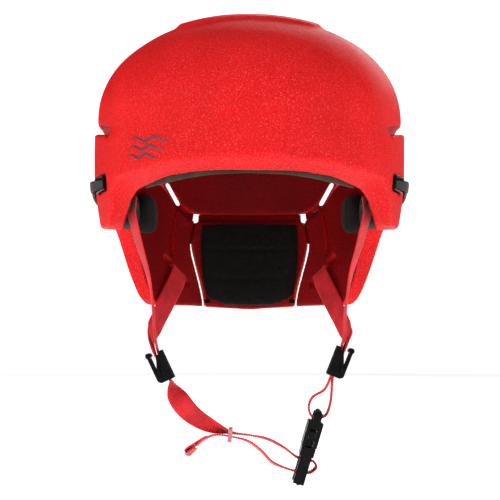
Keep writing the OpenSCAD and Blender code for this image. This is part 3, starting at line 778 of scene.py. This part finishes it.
FRONT_RUN = [(82.5, -41, -3, 0.42, 0.9, 0), (83.3, -39.2, -10, 0.42, 0.9, 0),
             (83.6, -37.6, -17, 0.42, 0.9, 0), (79.3, -31, -36, 0.36, 0.93, 0),
             (73, -22, -60, 0.2, 0.98, 0), (69.8, -15, -82, 0, 1, 0), (69, -11, -100, 0, 1, 0)]
REAR_RUN = [(67.3, 95.5, -52.5, 0.64, -0.39, 0.66), (57.5, 85.8, -52.8, 0.64, -0.39, 0.66),
            (55.5, 82, -54.5, 0.64, -0.39, 0.66), (57.5, 74, -62, 0.7, -0.3, 0.55),
            (64, 60, -77, 0.75, -0.5, 0.35), (70.6, 40, -94, 0.45, -0.85, 0.2),
            (73, 14, -103, 0.1, -1, 0.1)]
CHIN_RUN = [(-56.5, -10, -137.2, 0.1, 1, 0.1), (-54.8, -10.4, -142.5, 0.55, 0.8, 0.25),
            (-51, -11, -149.5, 0.85, 0.25, 0.55), (-42.5, -11, -159.5, 0.75, -0.3, 0.7),
            (-30, -10.5, -167.6, 0.5, -0.75, 0.75), (-14, -10, -173.2, 0.05, -1, 0.2),
            (0, -10, -175.2, 0, -1, 0.1), (13, -10, -178, 0, -1, 0.16), (25, -10, -184.2, 0, -1, 0.14),
            (33.6, -10, -190.6, 0, -1, 0), (39.5, -10, -192.4, 0, -1, 0), (46, -10, -194, 0, -1, 0),
            (48.2, -10, -198.2, 0, -1, 0), (43.5, -10, -202, 0, -1, 0), (36, -10, -201.6, 0, -1, 0),
            (28, -10, -199.6, 0, -1, 0.1), (16.8, -10, -195, 0, -1, 0.2), (8.5, -10, -186.6, 0, -1, 0.2),
            (-1, -10, -179.6, 0, -1, 0.16), (-12.5, -10, -176.4, 0, -1, 0.06)]
TAIL_RUN = [(-12.9, -10, -176.3, 0, -1, 0.06), (-24, -10, -175, 0, -1, 0.12),
            (-32.5, -10, -178, 0, -1, 0.15), (-38.3, -10, -182.7, 0, -1, 0.15)]
FOLD_RUN = [(-31.5, -10, -176.4, 0, -1, 0.1), (-36.5, -10, -179.8, 0, -1, 0.2),
            (-41, -10, -183.2, 0, -1, 0.3), (-44.4, -10, -185.8, 0, -1, 0.35),
            (-45.6, -10, -187.4, 0, -1, 0.35), (-44.2, -10, -188.4, 0, -1, 0.35),
            (-41.6, -10, -186.6, 0, -1, 0.3), (-39.2, -10, -184.4, 0, -1, 0.25)]
LOOP_RUN = [(54.2, -10, -142.4, 0, 1, 0), (46, -10, -147.6, 0, 1, 0), (43, -10, -154.5, 0, 1, 0),
            (44.8, -10, -161, 0, 1, 0), (50, -10, -162.3, 0, 1, 0), (55.6, -10, -160.4, 0, 1, 0),
            (59, -10, -150, 0, 1, 0)]


def make_straps():
    for side, word in ((-1, "left"), (1, "right")):
        front = strap("front_webbing_" + word, FRONT_RUN + [spot(word, 2.9, 10), spot(word, 2.6, 0)], side)
        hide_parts("front_strap_" + word)
        rear = strap("rear_webbing_" + word,
                     REAR_RUN + [spot(word, 0.2, 12, -1), spot(word, 0.5, 0, -1)], side)
        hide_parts("rear_strap_" + word)
        for piece in (front, rear):
            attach(piece, "shell")
    loop = strap("buckle_loop_webbing",
                 [spot("right", 2.4, -4), spot("right", 2.3, -14)] + LOOP_RUN
                 + [spot("right", 0.9, -13), spot("right", 1.1, -6)])
    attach(loop, "shell")
    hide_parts("chin_loop_right")
    chin = strap("chin_webbing", [mirrored(spot("left", 2.4, -4)), mirrored(spot("left", 2.3, -12))]
                 + CHIN_RUN)
    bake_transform(chin)
    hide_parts("chin_strap")
    tail = strap("chin_webbing_tail", TAIL_RUN)
    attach(tail, "buckle_male")
    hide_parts("chin_strap_tail")
    end_fold = strap("webbing_end_fold", FOLD_RUN)
    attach(end_fold, "buckle_male")
    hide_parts("strap_end_fold")


make_straps()

# ---------------------------------------------------------------- elastic band

BAND_LEVEL = [(64, 3.8), (70, 3.2), (76, 2.6), (85, 1), (100, -3), (115, -8.5), (130, -14),
              (145, -19), (160, -22.5), (180, -24)]
BAND_HALF = [(64, 3.3), (78, 3.8), (100, 5.6), (130, 8.5), (180, 9.5)]
BAND_DEPTH = [(64, 0.75), (67, 0.45), (70.5, 0.12), (73, -0.14), (76, -0.16), (80, -0.06),
              (86, -0.04), (180, -0.04)]
BAND_T = 2.0


def make_band():
    az = np.linspace(64.6, 295.4, 900)
    level = eased(az, BAND_LEVEL, 2)
    half = eased(az, BAND_HALF, 2)
    middle_depth = eased(az, BAND_DEPTH, 0.8) - BAND_T / WALL_SIDE / 2
    low = depth(az, level - half, middle_depth)
    high = depth(az, level + half, middle_depth)
    points, faces = ribbon_mesh((low + high) / 2, high - low, np.linalg.norm(high - low, axis=1) / 2,
                                BAND_T * 0.9, pitch=1.6, rib=0.1, around=22)
    band = link("fit_band", points, faces, ELASTIC)
    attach(band, "shell")
    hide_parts("rear_band")


make_band()

# ---------------------------------------------------------------- carried-over parts


def finish_node(name, material, bevel_mm=0.5, segments=3):
    """Gives a CAD node its material and breaks its sharp edges."""
    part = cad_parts[name]
    for slot in part.material_slots:
        slot.material = material
    if not part.material_slots:
        part.data.materials.append(material)
    weld = part.modifiers.new("weld", "WELD")
    weld.merge_threshold = 0.00001
    bevel = part.modifiers.new("edges", "BEVEL")
    bevel.width = bevel_mm * MM
    bevel.segments = segments
    bevel.limit_method = "ANGLE"
    bevel.angle_limit = math.radians(35)
    bevel.use_clamp_overlap = True
    smooth = part.modifiers.new("smooth", "WEIGHTED_NORMAL")
    smooth.keep_sharp = True


def make_hardware():
    for word in ("left", "right"):
        finish_node("adjuster_frame_" + word, PLASTIC)
        finish_node("adjuster_lever_" + word, PLASTIC)
        finish_node("adjuster_pin_" + word, PLASTIC, 0.3)
        finish_node("temple_eyelet_" + word, PLASTIC, 0.6)
        finish_node("nape_tab_" + word, PLASTIC, 0.5)
        finish_node("front_anchor_" + word, OLIVE_PLASTIC, 0.5)
        finish_node("rear_anchor_" + word, PLASTIC, 0.8)
    finish_node("band_slider", PLASTIC, 0.7)
    finish_node("buckle_female", PLASTIC, 0.9)
    finish_node("buckle_male", PLASTIC, 0.9)
    finish_node("buckle_latch_a", PLASTIC, 0.4)
    finish_node("buckle_latch_b", PLASTIC, 0.4)
    finish_node("keeper_ring", RING, 0.5)


make_hardware()

# ---------------------------------------------------------------- printed mark


MARK_ROWS = [(28.5, -44.5, -27.5), (22.8, -45.5, -29.5), (17.2, -46.5, -32)]


def laid_strip(name, az, z, half, thick, material, lift):
    """A thin rounded strip laid on the outer wall along a line of azimuth and height."""
    on_wall = depth(az, z, np.zeros_like(az))
    out = unit(depth(az, z, np.full_like(az, -1.0)) - on_wall)
    along = unit(np.gradient(on_wall, axis=0))
    centres = on_wall + out * lift
    points, faces = ribbon_mesh(centres, np.cross(out, along), half, thick, pitch=50, rib=0, around=10)
    return link(name, points, faces, material)


def make_mark():
    """Three printed waves, one above the other, on the left of the brow."""
    for row, (level, first, last) in enumerate(MARK_ROWS):
        az = np.linspace(first, last, 90)
        swing = (az - first) / (last - first)
        z = level - 0.1 * (az + 40) + 1.3 * np.sin(swing * 2 * np.pi * 2)
        half = 0.95 * np.sin(np.pi * np.clip(swing, 0.02, 0.98)) ** 0.5
        wave = laid_strip("wave_mark_%d" % row, az, z, half, 0.5, INK, 0.1)
        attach(wave, "shell")


make_mark()

# ---------------------------------------------------------------- floor and light

FLOOR_Z = -0.2155
FLOOR_GLOW = 0.8
BACKDROP_GLOW = 0.95


def pale_surface(name, glow):
    m = Nodes(name)
    m.to("Base Color", m.mixed(m.noise(3, 3), (0.9, 0.9, 0.9), (0.93, 0.93, 0.93)))
    m.set(Roughness=0.85, Specular_IOR_Level=0.1, Emission_Strength=glow)
    m.set(Emission_Color=(1, 1, 1, 1))
    return m.material


def make_floor():
    """A pale round floor, and a backdrop that curves up all round it and lights nothing."""
    material = pale_surface("floor_pale", FLOOR_GLOW)
    reach, radius, height, around = 2.4, 0.8, 3.6, 96
    curve = [(reach + radius * math.sin(a), radius * (1 - math.cos(a)))
             for a in np.linspace(0, math.pi / 2, 25)]
    curve.append((reach + radius, height))
    turn = 2 * np.pi * np.arange(around) / around
    ring = np.stack([np.cos(turn), np.sin(turn)], -1)
    flat = np.c_[ring * reach, np.full(around, FLOOR_Z)] / MM
    floor = link("floor", flat, [tuple(range(around))], material, smooth=False)
    walls = np.concatenate([np.c_[ring * r, np.full(around, FLOOR_Z + z)] for r, z in curve]) / MM
    faces = [(k * around + i, (k + 1) * around + i, (k + 1) * around + (i + 1) % around,
              k * around + (i + 1) % around) for k in range(len(curve) - 1) for i in range(around)]
    backdrop = link("backdrop", walls, faces, pale_surface("backdrop_pale", BACKDROP_GLOW))
    backdrop.visible_diffuse = backdrop.visible_glossy = backdrop.visible_transmission = False
    backdrop.visible_shadow = False


def make_light(name, where, size, power, towards=(0, 0, -0.02)):
    data = bpy.data.lights.new(name, "AREA")
    data.shape = "RECTANGLE"
    data.size, data.size_y = size
    data.energy = power
    lamp = bpy.data.objects.new(name, data)
    lamp.location = where
    lamp.rotation_euler = (Vector(towards) - Vector(where)).to_track_quat("-Z", "Y").to_euler()
    bpy.context.collection.objects.link(lamp)


def make_world(strength):
    world = bpy.data.worlds.new("studio")
    world.use_nodes = True
    sky = world.node_tree.nodes["Background"]
    sky.inputs["Color"].default_value = (1, 1, 1, 1)
    sky.inputs["Strength"].default_value = strength
    bpy.context.scene.world = world
    bpy.context.scene.view_settings.view_transform = "Standard"


make_floor()
make_light("key", (-1.3, -0.75, 0.38), (0.5, 0.7), 12.5)
make_light("fill", (1.35, -0.75, 0.34), (0.5, 0.7), 10)
make_light("front", (0, -1.9, 0.8), (1.2, 0.6), 5)
make_light("rear", (0.5, 1.7, 0.9), (1.2, 0.8), 14)
make_light("above", (0, -0.2, 1.5), (0.9, 0.7), 5)
make_world(0.05)
